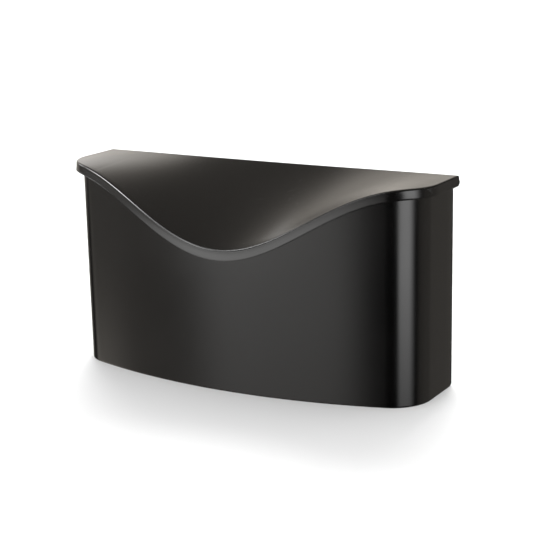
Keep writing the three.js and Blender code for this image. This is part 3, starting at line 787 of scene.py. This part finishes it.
def lid_lug(centre):
    """The lug that hangs from the skin and takes the hinge pin."""
    start = centre - LUG_WIDTH / 2
    profile = arc_points(PIVOT_Y, PIVOT_Z, LUG_RADIUS, 180, 360, HINGE_STEPS)
    top = LID_TOP - LID_SKIN / 2
    profile += [(PIVOT_Y + LUG_RADIUS - LUG_RELIEF, top), (PIVOT_Y - LUG_RADIUS - LUG_WEB_FLARE, top)]
    return sweep("lug", [[(x, y, z) for y, z in profile] for x in (start, start + LUG_WIDTH)])


# How far outside the inner faces of the skirt and the skin a face may lie and still count as inside, and
# how far in front of the rear edge it has to lie.
INSIDE_SKIRT_MARGIN = 0.5
INSIDE_SKIN_MARGIN = 0.6
INSIDE_REAR_MARGIN = 0.1


def give_lid_materials(lid):
    """Gloss outside, and the mould's finer matt grain on the faces that lie inside the skirt."""
    wall = SKIRT_WALL - INSIDE_SKIRT_MARGIN
    rear = -LID_REAR_GAP - INSIDE_REAR_MARGIN
    for polygon in lid.data.polygons:
        x, y, z = polygon.center / MM
        within = abs(x) < LID_PLAN.half - wall and lid_front_y(x) + wall < y < rear
        below = lid_surface(x, y) - (z - UNDERSIDE / MM)
        polygon.material_index = 1 if within and below > LID_SKIN - INSIDE_SKIN_MARGIN else 0


def make_lid():
    """The moulding with its ribs and lugs, cut away round the brackets' ears and bored for the pins."""
    lid = lid_body()
    places = [-BRACKET_X, BRACKET_X]
    length = 2 * (EAR_OFFSET + EAR_SHEET + PIN_TAIL_LENGTH + LUG_SIDE_ROOM)
    room = [pivot_rod("room", EAR_RADIUS + LUG_ROOM, length, x) for x in places]
    combine(lid, room, "DIFFERENCE")
    combine(lid, [lid_rib(x) for x in RIB_PLACES] + [lid_lug(x) for x in places], "UNION")
    length = LUG_WIDTH + 2 * THROUGH
    bores = [pivot_rod("bore", PIN_RADIUS + PIN_CLEARANCE, length, x) for x in places]
    combine(lid, bores, "DIFFERENCE")
    finish_piece(lid, "lid", "lid_plastic", [PLASTIC, PLASTIC_INSIDE], "lid_shell")
    give_lid_materials(lid)


def make_bumper(name, x, y):
    """A soft pad with rounded edges that follows the lid's underside."""
    low = LID_SKIN + RIM_GAP - GAP / 2
    high = LID_SKIN + GAP / 2
    flat = BUMPER_RADIUS - BUMPER_EDGE
    profile = [(BUMPER_RADIUS / 2, low), (flat, low)]
    profile += arc_points(flat, low - BUMPER_EDGE, BUMPER_EDGE, 90, 0)[1:]
    profile += [(BUMPER_RADIUS, high)]
    rings = []
    for radius, drop in profile:
        ring = circle(x, y, radius)
        rings.append([(u, v, lid_surface(u, v) - drop) for u, v in ring])
    finish_piece(sweep("fine_" + name, rings), "lid", "bumper_rubber", [RUBBER], name)


# ---- the case ----


def wrap_path(inset):
    """The wrap's path at a distance from its outer face, from one rear flange's edge to the other."""
    plan = plan_of(-inset, -inset)
    centre_x, centre_y = CASE_HALF_WIDTH - BEND_RADIUS, WRAP_REAR - BEND_RADIUS
    right = [(CASE_HALF_WIDTH - FLANGE_WIDTH, WRAP_REAR - inset)]
    right += arc_points(centre_x, centre_y, BEND_RADIUS - inset, 90, 0)
    side_x = right[-1][0]
    right += [(side_x, -NOTCH_DEPTH + NOTCH_HALF_STEP), (side_x, -NOTCH_DEPTH - NOTCH_HALF_STEP)]
    left = [(-x, y) for x, y in reversed(right)]
    return right + front_curve(plan) + left


def wrap_section(rim):
    """The (inset, height) of the sheet's section: a crisp foot, a plain wall and a hem at the rim."""
    fold = HEM_THICKNESS / 2
    hem_foot = rim - HEM_HEIGHT
    section = arc_points(EDGE, EDGE, EDGE, 270, 180, EDGE_STEPS)
    section += [(0, SUPPORT), (0, rim - fold - SUPPORT)]
    section += arc_points(fold, rim - fold, fold, 180, 0, HEM_STEPS)
    section += [(HEM_THICKNESS, hem_foot + HEM_EDGE), (HEM_THICKNESS - HEM_EDGE, hem_foot)]
    section += [(SHEET, hem_foot), (SHEET, hem_foot - SUPPORT), (SHEET, SUPPORT)]
    section += arc_points(SHEET - EDGE, EDGE, EDGE, 360, 270, EDGE_STEPS)
    return section


def make_wrap():
    """The sheet that makes both sides and the front, with its rim under the lid and a step at its ends."""
    paths = {inset: wrap_path(inset) for inset, _ in wrap_section(0)}
    sections = []
    for k, (x, y) in enumerate(wrap_path(0)):
        rim = lid_surface(x, y) - LID_SKIN - RIM_GAP
        if y > -NOTCH_DEPTH:
            rim = min(rim, BACK_TOP)
        sections.append([(*paths[inset][k], height) for inset, height in wrap_section(rim)])
    wrap = combine(sweep("wrap_sheet", sections), rivet_holes(SIDE_RIVETS), "DIFFERENCE")
    finish_piece(wrap, "case", "painted_steel", [STEEL], "front_wrap")


def tray_ring(inset, height):
    """The tray's outline, which steps forwards at each side to clear the wrap's flange."""
    front = front_curve(plan_of(-inset, -inset))
    own = inset - SHEET - GAP
    side_x = front[0][0]
    flange_x = CASE_HALF_WIDTH - FLANGE_WIDTH - GAP - own
    rear = [(-side_x, WRAP_REAR - inset), (-flange_x, WRAP_REAR - inset), (-flange_x, WRAP_REAR - own)]
    outline = front + rear + [(-x, y) for x, y in reversed(rear)]
    return [(x, y, height) for x, y in outline]


def drain_cutter(x):
    """A cutter for a drain hole with rounded edges."""
    wide = DRAIN_RADIUS + EDGE
    profile = [(0, -THROUGH), (wide, -THROUGH), (wide, 0), (DRAIN_RADIUS, EDGE)]
    profile += [(DRAIN_RADIUS, SHEET - EDGE), (wide, SHEET), (wide, SHEET + THROUGH), (0, SHEET + THROUGH)]
    return move(turned("drain", profile), None, (x, DRAIN_Y, 0))


def make_tray():
    """The pressed floor: a flat sheet with its edge turned up all round, and drain holes."""
    outer = SHEET + GAP
    inner = outer + SHEET
    bend = outer + TRAY_BEND
    rings = [tray_ring(bend, 0)]
    rings += [tray_ring(bend - u, TRAY_BEND - v) for u, v in arc_points(0, 0, TRAY_BEND, 90, 0)][1:]
    rings += [tray_ring(outer, PAN_FLANGE - TRAY_EDGE), tray_ring(outer + TRAY_EDGE, PAN_FLANGE)]
    rings += [tray_ring(inner - TRAY_EDGE, PAN_FLANGE), tray_ring(inner, PAN_FLANGE - TRAY_EDGE)]
    rings += [tray_ring(u, v) for u, v in arc_points(bend, TRAY_BEND, TRAY_BEND - SHEET, 180, 270)]
    tray = sweep("floor_tray", rings)
    drains = [drain_cutter(x) for x in DRAIN_PLACES]
    combine(tray, drains + rivet_holes(FLOOR_RIVETS), "DIFFERENCE")
    finish_piece(tray, "case", "painted_steel", [STEEL], "floor_pan")


def keyhole(x, seat):
    """A round entry with a narrower slot above it."""
    entry = seat - KEYHOLE_TRAVEL
    half = math.degrees(math.asin(KEYHOLE_SLOT_RADIUS / KEYHOLE_ENTRY_RADIUS))
    slot = arc_points(x, seat, KEYHOLE_SLOT_RADIUS, 0, 180, SLOT_STEPS)
    return slot + arc_points(x, entry, KEYHOLE_ENTRY_RADIUS, 90 + half, 450 - half, 2 * SLOT_STEPS)


def round_rectangle(left, bottom, right, top, radius):
    """The outline of a rectangle with rounded corners."""
    corners = [(right - radius, bottom + radius, 270), (right - radius, top - radius, 0)]
    corners += [(left + radius, top - radius, 90), (left + radius, bottom + radius, 180)]
    outline = []
    for u, v, start in corners:
        outline += arc_points(u, v, radius, start, start + 90, PLATE_CORNER_STEPS)
    return outline


def wall_holes():
    """The outlines of the keyholes and the lower fixing holes."""
    holes = []
    for side in (-1, 1):
        holes.append(keyhole(side * KEYHOLE_X, KEYHOLE_HEIGHT))
        holes.append(circle(side * KEYHOLE_X, LOWER_HOLE_HEIGHT, LOWER_HOLE_RADIUS))
    return holes


def along_lip(name, profile):
    """A (y, z) profile drawn out along the folded part of the back plate's top edge."""
    half = BRACKET_X - LEAF_HALF_WIDTH - LIP_BRACKET_GAP
    return sweep(name, [[(x, y, z) for y, z in profile] for x in (-half, half)])


def lip_corner():
    """A cutter for the plate's square corner where the lip bends out of it."""
    beyond = 0.5
    bend_z = BACK_TOP - LIP_BEND
    profile = [(beyond, BACK_TOP + beyond), (beyond, bend_z)]
    profile += arc_points(-LIP_BEND, bend_z, LIP_BEND, 0, 90) + [(-LIP_BEND, BACK_TOP + beyond)]
    return along_lip("corner", profile)


def plate_lip():
    """The lip: a rounded free edge, and a bend that runs down into the middle of the plate."""
    under = BACK_TOP - BACK_SHEET
    bend_z = BACK_TOP - LIP_BEND
    free_y = -LIP_DEPTH + EDGE
    profile = arc_points(free_y, BACK_TOP - EDGE, EDGE, 90, 180, EDGE_STEPS)
    profile += arc_points(free_y, under + EDGE, EDGE, 180, 270, EDGE_STEPS)
    profile += arc_points(-LIP_BEND, bend_z, LIP_BEND - BACK_SHEET, 90, 0)
    profile += [(-BACK_SHEET / 2, bend_z)]
    profile += arc_points(-LIP_BEND, bend_z, LIP_BEND - BACK_SHEET / 2, 0, 90)
    profile += [(-LIP_BEND, BACK_TOP)]
    return along_lip("lip", profile)


def make_plate():
    """The flat sheet on the wall, with its holes and a folded lip."""
    half = CASE_HALF_WIDTH - GAP / 2
    outline = round_rectangle(-half, 0, half, BACK_TOP, BACK_CORNER_RADIUS)
    sheet = plate("wall_plate", outline, wall_holes(), BACK_SHEET)
    move(sheet, FROM_WALL)
    combine(sheet, [lip_corner()], "DIFFERENCE")
    combine(sheet, [plate_lip()], "UNION")
    combine(sheet, rivet_holes(RIVETS), "DIFFERENCE")
    finish_piece(sheet, "case", "painted_steel", [STEEL], "back_plate")


# ---- the hinge ----


def bracket_ear(x):
    """An ear with a round end about the pin's bore, from x to the thickness of its sheet."""
    root = WRAP_REAR - EAR_ROOT_INSET
    top = BACK_TOP - LEAF_TOP_GAP
    outline = [(root, LEAF_BOTTOM + EAR_ROOT_RISE), (root, top), (PIVOT_Y + EAR_RADIUS / 2, top)]
    outline += arc_points(PIVOT_Y, PIVOT_Z, EAR_RADIUS, -EAR_NECK_TURN, 180, HINGE_STEPS)
    outline += [(PIVOT_Y - EAR_RADIUS, PIVOT_Z - EAR_FRONT_LENGTH)]
    bore = circle(PIVOT_Y, PIVOT_Z, PIN_RADIUS + PIN_CLEARANCE, HINGE_STEPS)
    return move(plate("ear", outline, [bore], EAR_SHEET, EAR_EDGE), SIDE_ON, (x, 0, 0))


def make_bracket(word, side):
    """A leaf on the back plate with two ears that hold the pin."""
    centre = side * BRACKET_X
    left = centre - LEAF_HALF_WIDTH
    right = centre + LEAF_HALF_WIDTH
    outline = round_rectangle(left, LEAF_BOTTOM, right, BACK_TOP - LEAF_TOP_GAP, LEAF_CORNER_RADIUS)
    bracket = plate("fine_hinge_bracket_" + word, outline, [], EAR_SHEET)
    move(bracket, FROM_WALL, (0, WRAP_REAR, 0))
    ears = [bracket_ear(x) for x in (centre - EAR_OFFSET - EAR_SHEET, centre + EAR_OFFSET)]
    combine(bracket, ears, "UNION")
    own = [rivet for rivet in BRACKET_RIVETS if left < rivet.x < right]
    combine(bracket, rivet_holes(own), "DIFFERENCE")
    finish_piece(bracket, "case", "plated_steel", [ZINC], "hinge_bracket_" + word)


def make_pin(word, side):
    """A headed pin with a groove for its clip."""
    head = PIN_HEAD_LENGTH
    head_radius = PIN_RADIUS + PIN_HEAD_OVERHANG
    groove = PIN_RADIUS - GROOVE_DEPTH
    fork = head + 2 * (EAR_OFFSET + EAR_SHEET) + GAP
    groove_end = fork + CLIP_SHEET + GAP
    tail = fork + PIN_TAIL_LENGTH
    tip = tail + PIN_CHAMFER
    profile = [(0, 0)] + [(head_radius - inset, height) for inset, height in PIN_HEAD_ROUND]
    profile += [(head_radius, head - PIN_EDGE), (head_radius - PIN_EDGE, head), (PIN_RADIUS, head)]
    profile += [(PIN_RADIUS, fork), (groove, fork), (groove, groove_end), (PIN_RADIUS, groove_end)]
    profile += [(PIN_RADIUS, tail), (PIN_RADIUS - PIN_CHAMFER, tip), (0, tip)]
    start = side * (BRACKET_X - EAR_OFFSET - EAR_SHEET - GAP / 2 - head)
    turn = ALONG_X if side > 0 else ALONG_MINUS_X
    pin = move(turned("fine_hinge_pin_" + word, profile), turn, (start, PIVOT_Y, PIVOT_Z))
    finish_piece(pin, "case", "plated_steel", [ZINC], "hinge_pin_" + word)


def make_clip(word, side):
    """An open ring in the pin's groove, open towards the front."""
    inner = PIN_RADIUS - GROOVE_DEPTH + GAP / 2
    outer = inner + CLIP_WIDTH
    start = 180 + CLIP_HALF_OPENING
    end = 540 - CLIP_HALF_OPENING
    outline = arc_points(0, 0, outer, start, end, CLIP_STEPS)
    outline += arc_points(0, 0, inner, end, start, CLIP_STEPS)
    x = side * (BRACKET_X + EAR_OFFSET + EAR_SHEET + GAP + CLIP_SHEET / 2) - CLIP_SHEET / 2
    clip = plate("fine_hinge_clip_" + word, outline, [], CLIP_SHEET, CLIP_EDGE)
    move(clip, SIDE_ON, (x, PIVOT_Y, PIVOT_Z))
    finish_piece(clip, "case", "plated_steel", [ZINC], "hinge_clip_" + word)


make_wrap()
make_tray()
make_plate()
for rivet in RIVETS:
    make_rivet(rivet)
for word, side in (("left", -1), ("right", 1)):
    make_bracket(word, side)
    make_pin(word, side)
    make_clip(word, side)
make_lid()
rim_x = CASE_HALF_WIDTH - SHEET
make_bumper("lid_bumper_left", -rim_x, -SIDE_DEPTH / 2)
make_bumper("lid_bumper_right", rim_x, -SIDE_DEPTH / 2)
make_bumper("lid_bumper_front", 0, SHEET - FRONT_DEPTH)

# ---- the floor ----


FLOOR_HALF_WIDTH = 6.0


def make_floor():
    """A plain pale floor under the case, in metres. Glossy surfaces don't see it."""
    mesh = bpy.data.meshes.new("floor")
    size = FLOOR_HALF_WIDTH
    corners = [(-size, -size), (size, -size), (size, size), (-size, size)]
    mesh.from_pydata([(x, y, UNDERSIDE) for x, y in corners], [], [(0, 1, 2, 3)])
    floor = bpy.data.objects.new("floor", mesh)
    bpy.context.scene.collection.objects.link(floor)
    s = Shader("pale_floor")
    cloud = s.noise(3.0, 3.0)
    s.set(Base_Color=s.mix(cloud, grey(0.86), grey(0.88)), Roughness=1.0)
    s.surface.inputs["Specular IOR Level"].default_value = 0.0
    mesh.materials.append(s.material)
    floor.visible_glossy = False


make_floor()

# ---- the light ----

# A panel of the studio as the gloss sees it. Directions are in degrees: azimuth 0 is straight in
# front of the case and 90 is to its right, elevation is above the horizon. Each direction has its two
# limits and the widths over which the panel fades at them.
Panel = namedtuple("Panel", "azimuth azimuth_fades elevation elevation_fades strength tint")
WHITE = (1.0, 1.0, 1.0)
WARM = (1.0, 0.93, 0.84)
STUDIO = [
    Panel((-92, 2), (16, 10), (-75, 12), (10, 12), 0.36, WARM),
    Panel((-38, 2), (16, 10), (-75, 12), (10, 12), 0.36, WHITE),
    Panel((-35, 2), (16, 10), (-19, 12), (8, 12), 0.51, WHITE),
    Panel((-88, -64), (12, 12), (-75, -17), (10, 5), 1.0, WARM),
    Panel((-70, 0), (20, 10), (-9, 6), (6, 10), 0.40, WHITE),
    Panel((-43, -12), (12, 22), (-10, 8), (8, 8), 1.7, WHITE),
    Panel((-38, -24), (6, 14), (22, 60), (8, 14), 7.0, WHITE),
    Panel((-42, -30), (6, 8), (-11, -3), (3, 6), 1.3, WHITE),
    Panel((43, 81), (13, 22), (-17, -7), (15, 4), 4.5, WHITE),
    Panel((49, 83), (13, 18), (-7, 8), (4, 10), 4.3, WHITE),
    Panel((98, 190), (12, 10), (-75, 12), (10, 12), 0.22, WARM),
    Panel((106, 136), (12, 20), (-75, 12), (10, 12), 0.09, WARM),
    Panel((-100, -74), (10, 10), (4, 24), (8, 8), 5.0, WHITE),
    Panel((-190, -112), (10, 14), (-75, -8), (10, 10), 0.25, WARM),
    Panel((-190, -98), (10, 16), (-8, 36), (10, 32), 0.76, WARM),
    Panel((-190, -137), (10, 14), (22, 47), (12, 26), 0.24, WARM),
    Panel((-190, -135), (10, 14), (-8, 10), (10, 16), 0.25, WARM),
]

# Behind the panels the gloss sees an even level, and a sky that grows between two elevations.
AMBIENT = 0.01
SKY = 0.33
SKY_LIMITS = (15.0, 50.0)

# The eye sees the backdrop. Matt surfaces see the dome and a key light, whose spread is given by the
# cosines of the angles from its direction at which it fades out and is full.
BACKDROP = 1.2
DOME = 1.08
KEY = 10.1
KEY_DIRECTION = (-0.36, 0.715, 0.60)
KEY_SPREAD = (0.888, 1.0)

# An upright card near the case, in metres: the line that it stands on, and its lower and upper edges.
Card = namedtuple("Card", "name line low high strength")
CARDS = [
    Card("edge_card", between((-0.40, -0.20), (-0.08, -0.20), 20), 0.078, 0.20, 31.0),
    Card("side_card", arc_points(-0.06, -0.02, 0.36, 170, 240, 24), 0.10, 0.42, 3.0),
    Card("rear_card", between((-0.62, 0.19), (-0.22, 0.19), 20), 0.065, 0.30, 0.95),
]
CARD_ROWS = 12


def window(nodes, value, limits, fades):
    """1 between two limits and 0 outside them, with a smooth fade at each."""
    rise, fall = (nodes.range(value, at - fade / 2, at + fade / 2) for at, fade in zip(limits, fades))
    return nodes.math("SUBTRACT", rise, fall)


def studio_colour(nodes, direction):
    """What the gloss sees in a direction: a dim room with a lighter ceiling, and the soft panels."""
    axes = nodes.node("SeparateXYZ", Vector=direction).outputs
    forwards = nodes.math("MULTIPLY", axes["Y"], -1.0)
    azimuth = nodes.math("DEGREES", nodes.math("ARCTAN2", axes["X"], forwards))
    elevation = nodes.math("DEGREES", nodes.math("ARCSINE", axes["Z"]))
    sky = nodes.math("MULTIPLY_ADD", nodes.range(elevation, *SKY_LIMITS), SKY, AMBIENT)
    total = nodes.math("MULTIPLY", WARM, sky, kind="VectorMath", output="Vector")
    for panel in STUDIO:
        across = window(nodes, azimuth, panel.azimuth, panel.azimuth_fades)
        upwards = window(nodes, elevation, panel.elevation, panel.elevation_fades)
        colour = [panel.strength * tint for tint in panel.tint]
        shape = nodes.math("MULTIPLY", across, upwards)
        light = nodes.math("MULTIPLY", colour, shape, kind="VectorMath", output="Vector")
        total = nodes.math("ADD", total, light, kind="VectorMath", output="Vector")
    return total


def plain_level(nodes, direction, seen):
    """How bright the world is to the eye, where seen is 1, and to matt surfaces: a dome and a key light."""
    towards_key = nodes.math("DOT_PRODUCT", direction, KEY_DIRECTION, kind="VectorMath")
    dome = nodes.math("MULTIPLY_ADD", nodes.range(towards_key, *KEY_SPREAD), KEY, DOME)
    unseen = nodes.math("SUBTRACT", 1.0, seen)
    return nodes.math("MULTIPLY_ADD", unseen, nodes.math("SUBTRACT", dome, BACKDROP), BACKDROP)


def make_world():
    """White to the eye and to matt surfaces. The gloss sees a dim studio with soft panels instead."""
    world = bpy.data.worlds.new("studio")
    bpy.context.scene.world = world
    world.use_nodes = True
    world.cycles.sampling_method = "NONE"
    nodes = Nodes(world.node_tree)
    nodes.tree.nodes.clear()
    direction = nodes.node("TexCoord").outputs["Generated"]
    ray = nodes.node("LightPath").outputs
    level = plain_level(nodes, direction, ray["Is Camera Ray"])
    plain = nodes.node("Background", Color=grey(1.0), Strength=level)
    studio = nodes.node("Background", Color=studio_colour(nodes, direction))
    blend = nodes.node("MixShader")
    for socket, value in zip(blend.inputs, (ray["Is Glossy Ray"], plain.outputs[0], studio.outputs[0])):
        nodes.feed(socket, value)
    nodes.node("OutputWorld", Surface=blend.outputs[0])


def make_card(card):
    """A bright upright card that fades out towards its edges. Only glossy surfaces see it."""
    verts, faces, glow = [], [], []
    for i, (x, y) in enumerate(card.line):
        across = math.sin(math.pi * i / (len(card.line) - 1))
        for j in range(CARD_ROWS + 1):
            verts.append((x, y, card.low + (card.high - card.low) * j / CARD_ROWS))
            glow.append(across * math.sin(math.pi * j / CARD_ROWS))
    for i in range(len(card.line) - 1):
        for j in range(CARD_ROWS):
            a = i * (CARD_ROWS + 1) + j
            b = a + CARD_ROWS + 1
            faces.append((a, a + 1, b + 1, b))
    mesh = bpy.data.meshes.new(card.name)
    mesh.from_pydata(verts, [], faces)
    mesh.attributes.new("glow", "FLOAT", "POINT").data.foreach_set("value", glow)
    made = bpy.data.objects.new(card.name, mesh)
    bpy.context.scene.collection.objects.link(made)
    s = Shader(card.name)
    light = s.node("Emission", Strength=s.math("MULTIPLY", s.attribute("glow"), card.strength))
    clear = s.node("BsdfTransparent")
    both = s.node("AddShader")
    s.feed(both.inputs[0], light.outputs[0])
    s.feed(both.inputs[1], clear.outputs[0])
    s.feed(s.tree.nodes["Material Output"].inputs["Surface"], both.outputs[0])
    mesh.materials.append(s.material)
    made.visible_camera = False
    made.visible_diffuse = False
    made.visible_shadow = False


make_world()
for card in CARDS:
    make_card(card)

# ---- the camera ----

CAMERA_TARGET = Vector((0.0332, -0.0551, -0.0526))
CAMERA_AZIMUTH = 29.90
CAMERA_ELEVATION = 14.385
CAMERA_DISTANCE = 1.3589
CAMERA_ROLL = -1.166
CAMERA_LENS = 93.7
CAMERA_SENSOR = 36


def make_camera():
    """The photo's camera. Azimuth 0 looks from straight in front of the case, and angles are in degrees."""
    data = bpy.data.cameras.new("camera")
    data.lens = CAMERA_LENS
    data.sensor_width = CAMERA_SENSOR
    camera = bpy.data.objects.new("camera", data)
    bpy.context.scene.collection.objects.link(camera)
    turn = math.radians(CAMERA_AZIMUTH)
    rise = math.radians(CAMERA_ELEVATION)
    back = Vector((math.sin(turn) * math.cos(rise), -math.cos(turn) * math.cos(rise), math.sin(rise)))
    aim = (-back).to_track_quat("-Z", "Y").to_matrix().to_4x4()
    roll = Matrix.Rotation(math.radians(CAMERA_ROLL), 4, "Z")
    camera.matrix_world = Matrix.Translation(CAMERA_TARGET + back * CAMERA_DISTANCE) @ aim @ roll
    bpy.context.scene.camera = camera


make_camera()
bpy.context.scene.view_settings.view_transform = "Standard"
